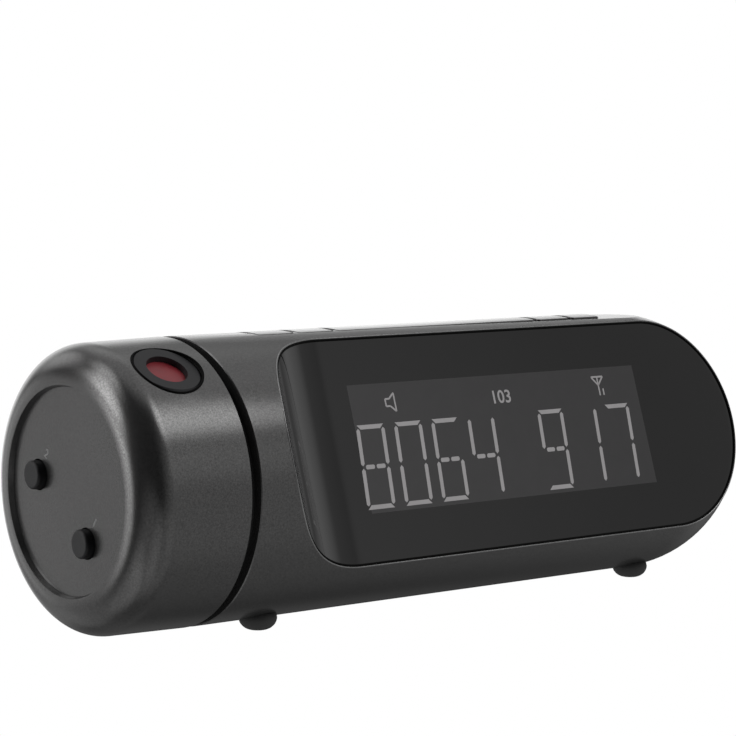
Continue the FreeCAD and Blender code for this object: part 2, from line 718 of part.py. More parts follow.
def make_main_board():
    y0 = MAIN_BOARD_Y + SEAT_GAP
    y1 = y0 + BOARD_T
    board = box((MAIN_BOARD_X0, MAIN_BOARD_X1), (y0, y1), (MAIN_BOARD_Z0, MAIN_BOARD_Z1))
    screws = []
    for x, z in standoff_places():
        board = board.cut(rod_y(SCREW_R + PART_GAP, y0 - 1, y1 + 1, x, z))
        screws.append(screw(vec(x, y1 + SEAT_GAP, z), Y_AXIS * -1, BOARD_SCREW_L))
    save("main_board", board)
    save("board_screws", Part.makeCompound(screws))
    low = SHIELD_UP - SHIELD_H / 2
    can = box(
        (GLAND_X - SHIELD_W / 2, GLAND_X + SHIELD_W / 2),
        (y1 + SEAT_GAP, y1 + SEAT_GAP + SHIELD_T),
        (low, low + SHIELD_H),
    )
    save("radio_shield", can)
    screws = []
    for x, z in cover_screw_places():
        screws.append(screw(vec(x, COVER_SCREW_SEAT + SEAT_GAP, z), Y_AXIS * -1, COVER_SCREW_L))
    save("cover_screws", Part.makeCompound(screws))


def make_speaker():
    """Basket, cone and magnet, turned about the speaker's own axis and laid along Y."""
    front = 0.0
    back = -SPEAKER_DEPTH
    magnet_top = back + MAGNET_T
    basket = turned(
        [
            (SPEAKER_R, front),
            (SPEAKER_R, front - SPEAKER_FLANGE_T),
            (SPEAKER_R - SURROUND_W, front - SPEAKER_FLANGE_T),
            (MAGNET_R, magnet_top + SEAT_GAP),
            (MAGNET_R / 2, magnet_top + SEAT_GAP),
            (MAGNET_R / 2, magnet_top + 1),
            (MAGNET_R - 1, magnet_top + 1),
            (SPEAKER_R - SURROUND_W - 1, front - SPEAKER_FLANGE_T + 0.4),
            (SPEAKER_R - SURROUND_W - 1, front),
        ],
        Z_AXIS,
    )
    rim = SPEAKER_R - SURROUND_W - 1 - PART_GAP
    rim_z = front - SPEAKER_FLANGE_T + 0.4 + SEAT_GAP
    throat = MAGNET_R / 2 - PART_GAP
    low = magnet_top + 1.4
    cone = turned(
        [
            (0, low + 0.8),
            (throat, low),
            (rim, rim_z),
            (rim, rim_z + CONE_T),
            (throat, low + CONE_T),
            (0, low + 0.8 + CONE_T),
        ],
        Z_AXIS,
    )
    magnet = turned([(0, back), (MAGNET_R, back), (MAGNET_R, magnet_top), (0, magnet_top)], Z_AXIS)
    for name, shape in (("speaker_frame", basket), ("speaker_cone", cone), ("speaker_magnet", magnet)):
        shape = shape.rotated(ORIGIN, X_AXIS, -90)
        save(name, shape.translated(vec(SPEAKER_X, SPEAKER_Y, 0)))


def make_sockets():
    z_mid = (BAY_Z0 + BAY_Z1) / 2
    board_top = z_mid - JACK_BODY / 2 - SEAT_GAP
    board_low = board_top - BOARD_T
    wall_in = BAY_Y - WALL
    board_back = min(math.sqrt(INNER_R ** 2 - board_low ** 2), wall_in) - SOCKET_BOARD_CLEAR
    board = box(
        (BAY_X0, BAY_X1),
        (MAIN_BOARD_Y + BOARD_T + PART_GAP, board_back),
        (board_low, board_top),
    )
    save("socket_board", board)
    body = box(
        (JACK_X - JACK_BODY / 2, JACK_X + JACK_BODY / 2),
        (SOCKET_BACK, wall_in - PART_GAP),
        (z_mid - JACK_BODY / 2, z_mid + JACK_BODY / 2),
    )
    jack = fuse(body, rod_y(JACK_R, wall_in - 1, BAY_Y, JACK_X, z_mid))
    jack = jack.cut(rod_y(JACK_BORE_R, BAY_Y - JACK_DEPTH, BAY_Y + 1, JACK_X, z_mid))
    pin = rod_y(JACK_PIN_R, BAY_Y - JACK_DEPTH - 1, BAY_Y - 1, JACK_X, z_mid)
    save("dc_jack", fuse(jack, pin))
    half_w = USB_W / 2
    half_h = USB_H / 2
    shell = box((USB_X - half_w, USB_X + half_w), (SOCKET_BACK, BAY_Y), (z_mid - half_h, z_mid + half_h))
    mouth = box(
        (USB_X - half_w + USB_WALL, USB_X + half_w - USB_WALL),
        (BAY_Y - USB_DEPTH, BAY_Y + 1),
        (z_mid - half_h + USB_WALL, z_mid + half_h - USB_WALL),
    )
    tongue = box(
        (USB_X - half_w + USB_TONGUE_IN, USB_X + half_w - USB_TONGUE_IN),
        (BAY_Y - USB_DEPTH - 1, BAY_Y - 1),
        (z_mid + USB_WALL, z_mid + USB_WALL + USB_TONGUE_T),
    )
    legs = [
        box((x, x + USB_LEG_W), (SOCKET_BACK, SOCKET_BACK + SOCKET_L / 2), (board_top + SEAT_GAP, z_mid))
        for x in (USB_X - half_w, USB_X + half_w - USB_LEG_W)
    ]
    port = fuse(shell.cut(mouth), tongue, *[leg.cut(mouth) for leg in legs])
    save("usb_port", port)
    seat = BODY_R - GLAND_SINK + SEAT_GAP
    barb_r = GLAND_NECK_R + GLAND_BARB
    barb_y = math.sqrt(INNER_R ** 2 - barb_r ** 2) - SEAT_GAP
    gland = turned(
        [
            (GLAND_BORE_R, seat + 0.7),
            (GLAND_R - 0.3, seat + 0.7),
            (GLAND_R, seat + 0.4),
            (GLAND_R, seat),
            (GLAND_NECK_R, seat),
            (GLAND_NECK_R, barb_y),
            (barb_r, barb_y),
            (GLAND_NECK_R, barb_y - 2 * GLAND_BARB),
            (GLAND_BORE_R, barb_y - 2 * GLAND_BARB),
        ],
        Z_AXIS,
    )
    gland = gland.rotated(ORIGIN, X_AXIS, -90)
    save("antenna_gland", gland.translated(vec(GLAND_X, 0, 0)))


# Drum, made with the lens straight up

def drum_radius(x):
    """The drum's outer radius on its conical stretch."""
    return BODY_R + SLOPE * x


def drum_round(shrink):
    """The elliptical round of the drum's end, from its cone to its rim."""
    centre_x = -(DRUM_L - DRUM_ROUND_L)
    half_x = DRUM_ROUND_L - shrink
    half_r = drum_radius(centre_x) - DRUM_RIM_R - shrink
    start = math.atan(half_x / half_r * SLOPE)
    half_r = half_r / math.cos(start)
    centre = vec(centre_x, 0, DRUM_RIM_R)
    return Part.Ellipse(centre + vec(0, 0, half_r), centre - vec(half_x, 0, 0), centre), start


def make_drum_shell():
    outer, start = drum_round(0)
    inner, inner_start = drum_round(WALL)
    wall_x = DISC_FACE + DISC_T + DRUM_END_T
    inner_end = math.asin((inner.Center.x - wall_x) / (DRUM_ROUND_L - WALL))
    arc = Part.ArcOfEllipse(outer, start, math.pi / 2)
    inner_arc = Part.ArcOfEllipse(inner, inner_start, inner_end)
    disc_r = RECESS_FLOOR_R + SEAT_GAP
    chain = [
        (inner_arc.StartPoint.x, inner_arc.StartPoint.z),
        (0, drum_radius(0) - WALL),
        (0, drum_radius(0) - RIM_CHAMFER),
        (-RIM_CHAMFER, drum_radius(-RIM_CHAMFER)),
        (arc.StartPoint.x, arc.StartPoint.z),
    ]
    chain_in = [
        (-DRUM_L, DRUM_RIM_R),
        (-DRUM_L, DRUM_RIM_R - RIM_CHAMFER),
        (DISC_FACE, disc_r),
        (DISC_FACE + DISC_T, disc_r),
        (DISC_FACE + DISC_T, disc_r - DISC_LEDGE),
        (wall_x, disc_r - DISC_LEDGE),
        (inner_arc.EndPoint.x, inner_arc.EndPoint.z),
    ]
    edges = [inner_arc.toShape()]
    for points in (chain, chain_in):
        corners = [vec(x, 0, r) for x, r in points]
        edges += [Part.makeLine(a, b) for a, b in zip(corners, corners[1:])]
    edges.append(arc.toShape())
    face = Part.Face(Part.Wire(Part.__sortEdges__(edges)))
    shell = face.revolve(ORIGIN, X_AXIS, 360)
    bosses = [rod_x(SCREW_BOSS_R, wall_x - 0.5, -drum_depth(), y, z) for y, z in drum_screw_places()]
    limit = rod_x(drum_radius(0) - WALL + 0.5, -DRUM_L, 0)
    shell = fuse(shell, *[boss.common(limit) for boss in bosses])
    for y, z in drum_screw_places():
        shell = shell.cut(rod_x(SCREW_R + SEAT_GAP, -drum_depth() - DRUM_SCREW_L, 0, y, z))
    hole = rod_z(BEZEL_R + PART_GAP, 0, BODY_R + 1, -BEZEL_X)
    return shell.cut(hole)


def drum_depth():
    """How far inside the seam the back plate's inner face lies."""
    return BACK_PLATE_INSET + BACK_PLATE_T + SEAT_GAP


def drum_screw_places():
    radius = drum_radius(0) - WALL - SCREW_BOSS_R
    angles = (math.radians(-20), math.radians(200), math.radians(270))
    return [(radius * math.cos(a), radius * math.sin(a)) for a in angles]


def make_drum():
    save("drum_shell", on_drum(make_drum_shell()))
    disc = rod_x(RECESS_FLOOR_R, DISC_FACE, DISC_FACE + DISC_T - SEAT_GAP)
    posts = []
    board_front = DISC_FACE + DISC_T + BUTTON_FLANGE_T + BUTTON_TRAVEL + BUTTON_SWITCH_H
    for z in (BUTTON_Z - BUTTON_Y, BUTTON_Z + BUTTON_R):
        posts.append(rod_x(STANDOFF_R, DISC_FACE + 1, board_front - SEAT_GAP, 0, z))
    disc = fuse(disc, *posts)
    for y in (-BUTTON_Y, BUTTON_Y):
        disc = disc.cut(rod_x(BUTTON_R + SLIDE_FIT, DISC_FACE - 1, DISC_FACE + DISC_T + 1, y, BUTTON_Z))
    save("drum_end_disc", on_disc(disc))
    flange_x = DISC_FACE + DISC_T + PART_GAP
    for name, y in (("projection_button", -BUTTON_Y), ("flip_button", BUTTON_Y)):
        cap = rod_x(BUTTON_R, LEFT_END, flange_x + 0.5, y, BUTTON_Z)
        cap = cap.makeFillet(BUTTON_ROUND, edges_where(cap, lambda b: flat_at(LEFT_END, b.XMin, b.XMax)))
        flange = rod_x(BUTTON_R + BUTTON_FLANGE, flange_x, flange_x + BUTTON_FLANGE_T, y, BUTTON_Z)
        save(name, on_disc(fuse(cap, flange)))
    low = BUTTON_Z - BUTTON_Y - STANDOFF_R - 1
    high = BUTTON_Z + BUTTON_R + STANDOFF_R
    reach = BUTTON_Y + SWITCH_W
    board = box((board_front, board_front + BOARD_T), (-reach, reach), (low, high))
    switch_front = flange_x + BUTTON_FLANGE_T + BUTTON_TRAVEL + SLIDE_FIT / 2
    switches = []
    for y in (-BUTTON_Y, BUTTON_Y):
        body = box(
            (switch_front + PLUNGER_H, board_front),
            (y - SWITCH_W / 2, y + SWITCH_W / 2),
            (BUTTON_Z - SWITCH_W / 2, BUTTON_Z + SWITCH_W / 2),
        )
        switches.append(fuse(body, rod_x(SWITCH_W / 4, switch_front, switch_front + PLUNGER_H, y, BUTTON_Z)))
    save("button_board", on_disc(fuse(board, *switches)))


def projector_levels():
    """Heights of the projector's stack: the barrel's top, its lower end and the housing's lower end."""
    barrel_top = BEZEL_TOP - WINDOW_DEPTH - WINDOW_T - 2 * SEAT_GAP
    barrel_low = barrel_top - BARREL_L
    return barrel_top, barrel_low, barrel_low - SEAT_GAP - HOUSING_H


def make_swivel():
    plate_x = BACK_PLATE_X - BACK_PLATE_T
    plate = rod_x(drum_radius(0) - WALL - PART_GAP, plate_x, BACK_PLATE_X)
    hub_end = SEAM_GAP + END_WALL + HUB_L
    washer_x = hub_end + SEAT_GAP
    clip_x = washer_x + WASHER_T + SEAT_GAP
    spigot_end = clip_x + CLIP_T + SEAT_GAP + 0.6
    spigot = rod_x(SPIGOT_R, plate_x, spigot_end)
    groove = tube_x(SPIGOT_R + 1, SPIGOT_R - CLIP_GROOVE, clip_x - SEAT_GAP, clip_x + CLIP_T + SEAT_GAP)
    shelf_top = projector_levels()[2] - BOARD_T - SEAT_GAP
    shelf_y = PROJECTOR_BOARD_W / 2 - SHELF_W
    shelves = [
        box((-BEZEL_X, plate_x + 0.5), (y - SHELF_W / 2, y + SHELF_W / 2), (shelf_top - SHELF_W, shelf_top))
        for y in (-shelf_y, shelf_y)
    ]
    back = fuse(plate, spigot, *shelves).cut(groove)
    back = back.cut(rod_x(SPIGOT_BORE_R, plate_x - 1, spigot_end + 1))
    screws = []
    for y, z in drum_screw_places():
        back = back.cut(rod_x(SCREW_R + PART_GAP, plate_x - 1, BACK_PLATE_X + 1, y, z))
        seat = BACK_PLATE_X - SCREW_HEAD_H - PART_GAP
        back = back.cut(rod_x(SCREW_HEAD_R + PART_GAP, seat, BACK_PLATE_X + 1, y, z))
        screws.append(on_drum(screw(vec(seat, y, z), X_AXIS * -1, DRUM_SCREW_L)))
    save("drum_back_plate", on_drum(back))
    save("drum_screws", Part.makeCompound(screws))
    bush = fuse(rod_x(NECK_R, -NECK_INSET, SEAM_GAP), rod_x(HUB_R, SEAM_GAP - 0.5, hub_end))
    bush = bush.cut(rod_x(SPIGOT_R + SWIVEL_FIT, -1, hub_end + 1))
    save("swivel_bush", bush)
    save("friction_washer", tube_x(CLIP_R, SPIGOT_R + SWIVEL_FIT, washer_x, washer_x + WASHER_T))
    clip = tube_x(CLIP_R, SPIGOT_R - CLIP_GROOVE + SWIVEL_FIT, clip_x, clip_x + CLIP_T)
    opening = box((clip_x - 1, clip_x + CLIP_T + 1), (-SPIGOT_R / 2, SPIGOT_R / 2), (-REACH, 0))
    save("retaining_clip", on_drum(clip.cut(opening)))


def make_projector():
    """Bezel, window, lens and light source, stacked down from the drum's skin."""
    base = BEZEL_TOP - BEZEL_H
    pocket = BEZEL_TOP - WINDOW_DEPTH
    barrel_top, barrel_low, low = projector_levels()
    bezel = turned(
        [
            (LENS_HOLE_R + LENS_HOLE_FLARE, BEZEL_TOP),
            (BEZEL_R - BEZEL_CHAMFER, BEZEL_TOP),
            (BEZEL_R, BEZEL_TOP - BEZEL_CHAMFER),
            (BEZEL_R, base),
            (BARREL_R + PART_GAP, base),
            (BARREL_R + PART_GAP, barrel_top + SEAT_GAP),
            (WINDOW_R + SEAT_GAP, barrel_top + SEAT_GAP),
            (WINDOW_R + SEAT_GAP, pocket),
            (LENS_HOLE_R, pocket),
        ],
        Z_AXIS,
    )
    window = rod_z(WINDOW_R, pocket - WINDOW_T - SEAT_GAP, pocket - SEAT_GAP)
    barrel = rod_z(BARREL_R, barrel_low, barrel_top).cut(rod_z(BARREL_BORE_R, barrel_low - 1, barrel_top + 1))
    lens_z = barrel_top - BARREL_L / 2
    lens_r = BARREL_BORE_R - SEAT_GAP
    sag = (LENS_T - LENS_RIM_T) / 2
    ball_r = (lens_r ** 2 + sag ** 2) / (2 * sag)
    centre = ball_r - LENS_T / 2
    lens = rod_z(lens_r, lens_z - LENS_T, lens_z + LENS_T)
    lens = lens.common(Part.makeSphere(ball_r, vec(0, 0, lens_z - centre)))
    lens = lens.common(Part.makeSphere(ball_r, vec(0, 0, lens_z + centre)))
    half = HOUSING_W / 2
    top = barrel_low - SEAT_GAP
    housing = box((-half, half), (-half, half), (low, top))
    room = half - HOUSING_WALL
    shaft = box((-room, room), (-room, room), (low - 1, top - HOUSING_WALL))
    housing = cut(housing, shaft, rod_z(BARREL_BORE_R - 1, low, top + 1))
    slide_top = top - HOUSING_WALL - SEAT_GAP
    slide = box((-SLIDE_W / 2, SLIDE_W / 2), (-SLIDE_W / 2, SLIDE_W / 2), (slide_top - SLIDE_T, slide_top))
    led_base = low + SEAT_GAP
    led = fuse(box((-room + 1, room - 1), (-room + 1, room - 1), (led_base, led_base + 1)),
               rod_z(LED_R, led_base + 1, led_base + LED_H - LED_R))
    led = fuse(led, Part.makeSphere(LED_R, vec(0, 0, led_base + LED_H - LED_R)).common(
        rod_z(LED_R, led_base + 1, led_base + 2 * LED_H)))
    board_half = PROJECTOR_BOARD_W / 2
    board = box((-half, half - PART_GAP), (-board_half, board_half), (low - BOARD_T, low - SEAT_GAP / 2))
    pieces = {
        "projector_bezel": bezel,
        "projector_window": window,
        "focus_barrel": barrel,
        "projection_lens": lens,
        "projector_housing": housing,
        "projector_slide": slide,
        "projector_led": led,
        "projector_board": board,
    }
    for name, shape in pieces.items():
        save(name, on_drum(shape.translated(vec(-BEZEL_X, 0, 0))))


os.makedirs("parts", exist_ok=True)
make_shells()
save("front_panel", make_front_panel())
make_display()
make_keys()
make_feet()
make_cell()
make_main_board()
make_speaker()
make_sockets()
make_drum()
make_swivel()
make_projector()
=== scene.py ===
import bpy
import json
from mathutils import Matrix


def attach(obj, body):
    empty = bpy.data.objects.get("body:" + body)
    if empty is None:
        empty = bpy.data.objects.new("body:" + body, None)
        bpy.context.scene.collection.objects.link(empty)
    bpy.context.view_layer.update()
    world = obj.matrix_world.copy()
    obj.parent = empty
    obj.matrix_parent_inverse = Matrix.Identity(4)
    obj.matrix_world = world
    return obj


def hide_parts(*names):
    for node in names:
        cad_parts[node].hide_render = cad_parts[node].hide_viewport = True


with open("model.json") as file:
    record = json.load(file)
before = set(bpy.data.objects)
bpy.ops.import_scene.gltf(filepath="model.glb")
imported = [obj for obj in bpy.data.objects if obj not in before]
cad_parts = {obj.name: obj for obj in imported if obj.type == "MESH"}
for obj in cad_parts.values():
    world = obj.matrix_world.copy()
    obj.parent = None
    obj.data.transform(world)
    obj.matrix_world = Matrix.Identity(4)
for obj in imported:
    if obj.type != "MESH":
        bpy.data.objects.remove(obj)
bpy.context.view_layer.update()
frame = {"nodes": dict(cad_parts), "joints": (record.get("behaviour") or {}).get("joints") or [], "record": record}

import json
import math

import bmesh
import bpy
from mathutils import Matrix, Vector

# A projection alarm clock: a lying capsule with a tilted display panel and a turning projector drum.
# Sizes are millimetres. X is measured from the drum's seam face, Y (to the back) and Z (up) from
# the long axis, and at() carries such a point to the clock's own frame in metres.

MM = 0.001
SEAM = Vector(next(j["pos_m"] for j in frame["joints"] if j["name"] == "drum_swivel"))
NODES = frame["nodes"]

# Body and panel, as the construction has them
BODY_R = 32.0
CAP_X = 134.9
PANEL_TILT = 18.4
PANEL_D = 18.4
PANEL_T = 2.0
PANEL_LIP = 0.2
PANEL_GAP = 0.25
SCOOP_X = 34.7
SCOOP_R = 26.8
SCOOP_ANGLE = 50.7
DISPLAY_X = 85.0
DISPLAY_UP = 0.2
DISPLAY_L = 89.7
DISPLAY_H = 29.5

# Drum
DRUM_TURN = 31.7
DISC_TURN = 2.6
DISC_FACE = -25.2
DRUM_DRAFT = 1.2
BEZEL_X = 11.1
BEZEL_R = 7.7
BUTTON_Y = 11.4
BUTTON_Z = -4.8
BUTTON_R = 3.15

# Small edges: the panel's own edge; a bead along the edge of its opening, sunk in the skin by a share
# of its radius and painted lighter than the body as a painted highlight; near-black strips laid in the gaps around
# the panel and the bezel as painted shadow; and the thickness of print
PANEL_EDGE = 0.2
PANEL_EDGE_STEPS = 3
PANEL_EDGE_ANGLE = 50
OPENING_EDGE_R = 0.19
OPENING_EDGE_SUNK = 0.55
PANEL_SHADOW_LINE_R = 0.27
BEZEL_SHADOW_LINE_R = 0.28
INK = 0.02

# Fineness of the curved pieces
PANEL_ROWS = 97
SCOOP_COLUMNS = 49
FLAT_COLUMNS = 72
SCOOP_SHARE = 0.24
OPENING_STEPS = 60
RING_STEPS = 72
FOOT_STEPS = 48
DOME_STEPS = 14

# Rubber feet, domed where they meet the table: radii, and heights above the table
FEET = ("foot_front_left", "foot_rear_left", "foot_front_right", "foot_rear_right")
FOOT_R = 4.3
FOOT_FLAT = 1.2
FOOT_WIDEST_AT = 2.8
FOOT_PAD_TOP = 4.0
FOOT_PAD_DRAWN_IN = 0.3
FOOT_PIN_R = 1.5

# Camera that took the photograph
CAMERA_AT = (-321.77, -466.93, 73.95)
CAMERA_AZIMUTH = -39.031
CAMERA_ELEVATION = 4.919
CAMERA_ROLL = 0.184
CAMERA_LENS = 127.06
SENSOR = 36.0


def at(x, y, z):
    return SEAM + MM * Vector((x, y, z))


def tilted(x, s, h):
    """A point of the panel: x along the body, s up its slope, h out from the axis."""
    turn = math.radians(PANEL_TILT)
    y = -h * math.cos(turn) + s * math.sin(turn)
    z = h * math.sin(turn) + s * math.cos(turn)
    return at(x, y, z)


def on_drum(x, y, z, further=0.0):
    """A point given with the lens straight up, turned to the drum's rest position."""
    turn = math.radians(DRUM_TURN + further)
    return at(x, y * math.cos(turn) - z * math.sin(turn), y * math.sin(turn) + z * math.cos(turn))


# Materials, whose noise lies mostly between these two values

NOISE_LOW = 0.3
NOISE_HIGH = 0.7


def node(tree, kind, **sockets):
    made = tree.nodes.new(kind)
    for key, value in sockets.items():
        if hasattr(made, key):
            setattr(made, key, value)
        else:
            made.inputs[key].default_value = value
    return made


def new_material(name):
    material = bpy.data.materials.new(name)
    material.use_nodes = True
    tree = material.node_tree
    shader = tree.nodes["Principled BSDF"]
    return material, tree, shader


def noise(tree, scale, detail=2.0, rough=0.5):
    """Noise in object space, its scale in grains per millimetre."""
    place = node(tree, "ShaderNodeTexCoord")
    made = node(tree, "ShaderNodeTexNoise", Scale=scale / MM, Detail=detail, Roughness=rough)
    tree.links.new(place.outputs["Object"], made.inputs["Vector"])
    return made.outputs["Fac"]


def spread(tree, value, low, high):
    """Maps a noise value to a range of numbers."""
    made = node(tree, "ShaderNodeMapRange")
    made.inputs["From Min"].default_value = NOISE_LOW
    made.inputs["From Max"].default_value = NOISE_HIGH
    made.inputs["To Min"].default_value = low
    made.inputs["To Max"].default_value = high
    tree.links.new(value, made.inputs["Value"])
    return made.outputs["Result"]


def two_tone(tree, value, dark, light):
    """Blends two colours by a noise value."""
    made = node(tree, "ShaderNodeValToRGB")
    made.color_ramp.elements[0].position = NOISE_LOW
    made.color_ramp.elements[0].color = (*dark, 1)
    made.color_ramp.elements[1].position = NOISE_HIGH
    made.color_ramp.elements[1].color = (*light, 1)
    tree.links.new(value, made.inputs["Fac"])
    return made.outputs["Color"]


def grain(tree, shader, value, depth, strength=1.0):
    """Raises a noise value as fine relief, its depth in millimetres."""
    made = node(tree, "ShaderNodeBump", Strength=strength, Distance=depth * MM)
    tree.links.new(value, made.inputs["Height"])
    tree.links.new(made.outputs["Normal"], shader.inputs["Normal"])


def gunmetal(name="gunmetal_paint", dark=(0.070, 0.070, 0.070), light=(0.145, 0.144, 0.143)):
    material, tree, shader = new_material(name)
    flake = noise(tree, 2.6, 3.0, 0.7)
    drift = noise(tree, 0.02, 2.0)
    tree.links.new(two_tone(tree, flake, dark, light), shader.inputs["Base Color"])
    tree.links.new(spread(tree, drift, 0.20, 0.23), shader.inputs["Roughness"])
    shader.inputs["Metallic"].default_value = 0.75
    shader.inputs["Coat Weight"].default_value = 0.10
    shader.inputs["Coat Roughness"].default_value = 0.22
    grain(tree, shader, flake, 0.012, 0.35)
    return material


def gloss(name, dark, light, rough_low, rough_high, scale=0.05):
    """Smooth glossy plastic whose shine drifts a little."""
    material, tree, shader = new_material(name)
    drift = noise(tree, scale, 3.0)
    tree.links.new(two_tone(tree, drift, dark, light), shader.inputs["Base Color"])
    tree.links.new(spread(tree, drift, rough_low, rough_high), shader.inputs["Roughness"])
    shader.inputs["IOR"].default_value = 1.49
    return material


def textured(name, dark, light, rough_low, rough_high, scale, depth, metallic=0.0, ior=1.5):
    """Plastic, rubber, card or metal with a fine moulded or drawn texture."""
    material, tree, shader = new_material(name)
    fine = noise(tree, scale, 4.0, 0.6)
    tree.links.new(two_tone(tree, fine, dark, light), shader.inputs["Base Color"])
    tree.links.new(spread(tree, fine, rough_low, rough_high), shader.inputs["Roughness"])
    shader.inputs["Metallic"].default_value = metallic
    shader.inputs["IOR"].default_value = ior
    grain(tree, shader, fine, depth)
    return material


def lit(name, dark, light, glow, strength):
    """A display mark: pale, faintly lit from behind, under the panel's gloss."""
    material, tree, shader = new_material(name)
    drift = noise(tree, 0.2, 2.0)
    tree.links.new(two_tone(tree, drift, dark, light), shader.inputs["Base Color"])
    shader.inputs["Roughness"].default_value = 0.06
    shader.inputs["IOR"].default_value = 1.49
    shader.inputs["Emission Color"].default_value = (*glow, 1)
    shader.inputs["Emission Strength"].default_value = strength
    return material


PAINT = gunmetal()
PANEL_MATERIAL = gloss("smoked_acrylic", (0.0050, 0.0048, 0.0049), (0.0068, 0.0065, 0.0066), 0.025, 0.05)
WINDOW_GLOW = (0.04, 0.039, 0.040)
WINDOW_MATERIAL = lit("display_window", (0.026, 0.025, 0.026), (0.030, 0.029, 0.030), WINDOW_GLOW, 0.26)
MARK_GLOW = (0.30, 0.29, 0.295)
MARK_MATERIAL = lit("display_marks", (0.30, 0.29, 0.295), (0.34, 0.33, 0.335), MARK_GLOW, 0.34)
GLOSS_BLACK = gloss("gloss_black", (0.030, 0.030, 0.030), (0.040, 0.040, 0.040), 0.32, 0.40)
BLACK_PLASTIC = textured("black_plastic", (0.018, 0.018, 0.019), (0.026, 0.026, 0.027),
                         0.42, 0.55, 3.0, 0.01)
BEZEL_PLASTIC = textured("bezel_plastic", (0.013, 0.013, 0.015), (0.019, 0.019, 0.021),
                         0.42, 0.52, 3.0, 0.008, ior=1.40)
BUTTON_PLASTIC = textured("button_plastic", (0.004, 0.004, 0.005), (0.008, 0.008, 0.009),
                          0.45, 0.55, 3.0, 0.008, ior=1.38)
# A lighter copy of the body paint, giving the opening's edge a painted highlight
EDGE_PAINTED_HIGHLIGHT = gunmetal("edge_painted_highlight", (0.18, 0.18, 0.18), (0.30, 0.30, 0.30))
# Near black with little shine: painted shadow laid in the gaps around the panel and the bezel
PAINTED_GAP_SHADOW = textured("gap_painted_shadow_black", (0.001, 0.001, 0.001), (0.003, 0.003, 0.003),
                      0.55, 0.7, 3.0, 0.005, ior=1.15)
RUBBER = textured("rubber", (0.036, 0.036, 0.036), (0.050, 0.050, 0.050), 0.65, 0.8, 2.0, 0.015)
RED_WINDOW = gloss("red_window", (0.26, 0.024, 0.034), (0.32, 0.032, 0.042), 0.35, 0.45, 0.4)
BOARD_MATERIAL = textured("circuit_board", (0.010, 0.055, 0.025), (0.016, 0.085, 0.038),
                          0.35, 0.5, 0.6, 0.01)
STEEL = textured("zinc_steel", (0.42, 0.42, 0.43), (0.60, 0.60, 0.61), 0.28, 0.42, 1.5, 0.004, 1.0)
PAPER = textured("paper_cone", (0.015, 0.015, 0.016), (0.04, 0.04, 0.042), 0.8, 0.95, 1.2, 0.05)
GUIDE = gloss("light_guide", (0.72, 0.74, 0.76), (0.80, 0.82, 0.84), 0.2, 0.35, 0.3)
OPTIC = gloss("clear_optic", (0.55, 0.57, 0.57), (0.65, 0.67, 0.67), 0.03, 0.06, 0.3)
PRINT = textured("pale_print", (0.20, 0.20, 0.20), (0.28, 0.28, 0.28), 0.45, 0.6, 2.0, 0.002)

SLOT_MATERIALS = {
    "gunmetal": PAINT,
    "smoked_panel": PANEL_MATERIAL,
    "display_glass": WINDOW_MATERIAL,
    "clear_optic": OPTIC,
    "light_guide": GUIDE,
    "red_window": RED_WINDOW,
    "black_plastic": BLACK_PLASTIC,
    "gloss_black": GLOSS_BLACK,
    "circuit_board": BOARD_MATERIAL,
    "steel": STEEL,
    "paper_cone": PAPER,
    "rubber": RUBBER,
}
SPECIAL_MATERIALS = {
    "projector_bezel": BEZEL_PLASTIC,
    "projection_button": BUTTON_PLASTIC,
    "flip_button": BUTTON_PLASTIC,
}


def dress_nodes():
    """Gives each piece of the construction the material of its slot."""
    for row in frame["record"]["subparts"]:
        name = row["node"]
        material = SPECIAL_MATERIALS.get(name, SLOT_MATERIALS[row["material_slot"]])
        slots = NODES[name].data.materials
        slots.clear()
        slots.append(material)


# Mesh helpers

def add_mesh(name, verts, faces, material, body, smooth=True):
    mesh = bpy.data.meshes.new(name)
    mesh.from_pydata([tuple(v) for v in verts], [], faces)
    mesh.validate()
    for polygon in mesh.polygons:
        polygon.use_smooth = smooth
    mesh.materials.append(material)
    piece = bpy.data.objects.new(name, mesh)
    bpy.context.scene.collection.objects.link(piece)
    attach(piece, body)
    return piece


def grid_faces(rows, columns):
    """Quads of a grid of rows by columns of points."""
    faces = []
    for j in range(rows - 1):
        for i in range(columns - 1):
            a = j * columns + i
            faces.append((a, a + 1, a + columns + 1, a + columns))
    return faces


# Front panel: one sheet of smoked acrylic, flat with a scoop rolled up at its left end

def profile_h(x):
    """The panel face's distance from the axis, along the body."""
    angle = math.radians(SCOOP_ANGLE)
    reach = SCOOP_X - x
    if reach <= 0:
        return PANEL_D
    if reach <= SCOOP_R * math.sin(angle):
        return PANEL_D + SCOOP_R - math.sqrt(SCOOP_R ** 2 - reach ** 2)
    rise = SCOOP_R * (1 - math.cos(angle))
    return PANEL_D + rise + (reach - SCOOP_R * math.sin(angle)) * math.tan(angle)


def scoop_x(height):
    """Where the scoop has risen by a height: the inverse of profile_h."""
    angle = math.radians(SCOOP_ANGLE)
    rise = SCOOP_R * (1 - math.cos(angle))
    if height <= rise:
        return SCOOP_X - SCOOP_R * math.sin(math.acos(1 - max(height, 0.0) / SCOOP_R))
    return SCOOP_X - SCOOP_R * math.sin(angle) - (height - rise) / math.tan(angle)


def row_span(radius, s):
    """The panel's left and right ends at a height s up its slope, where it meets a radius."""
    half = math.sqrt(radius ** 2 - PANEL_D ** 2)
    left = scoop_x(math.sqrt(max(radius ** 2 - s ** 2, PANEL_D ** 2)) - PANEL_D)
    right = CAP_X + math.sqrt(max(half ** 2 - s ** 2, 0.0))
    return left, right


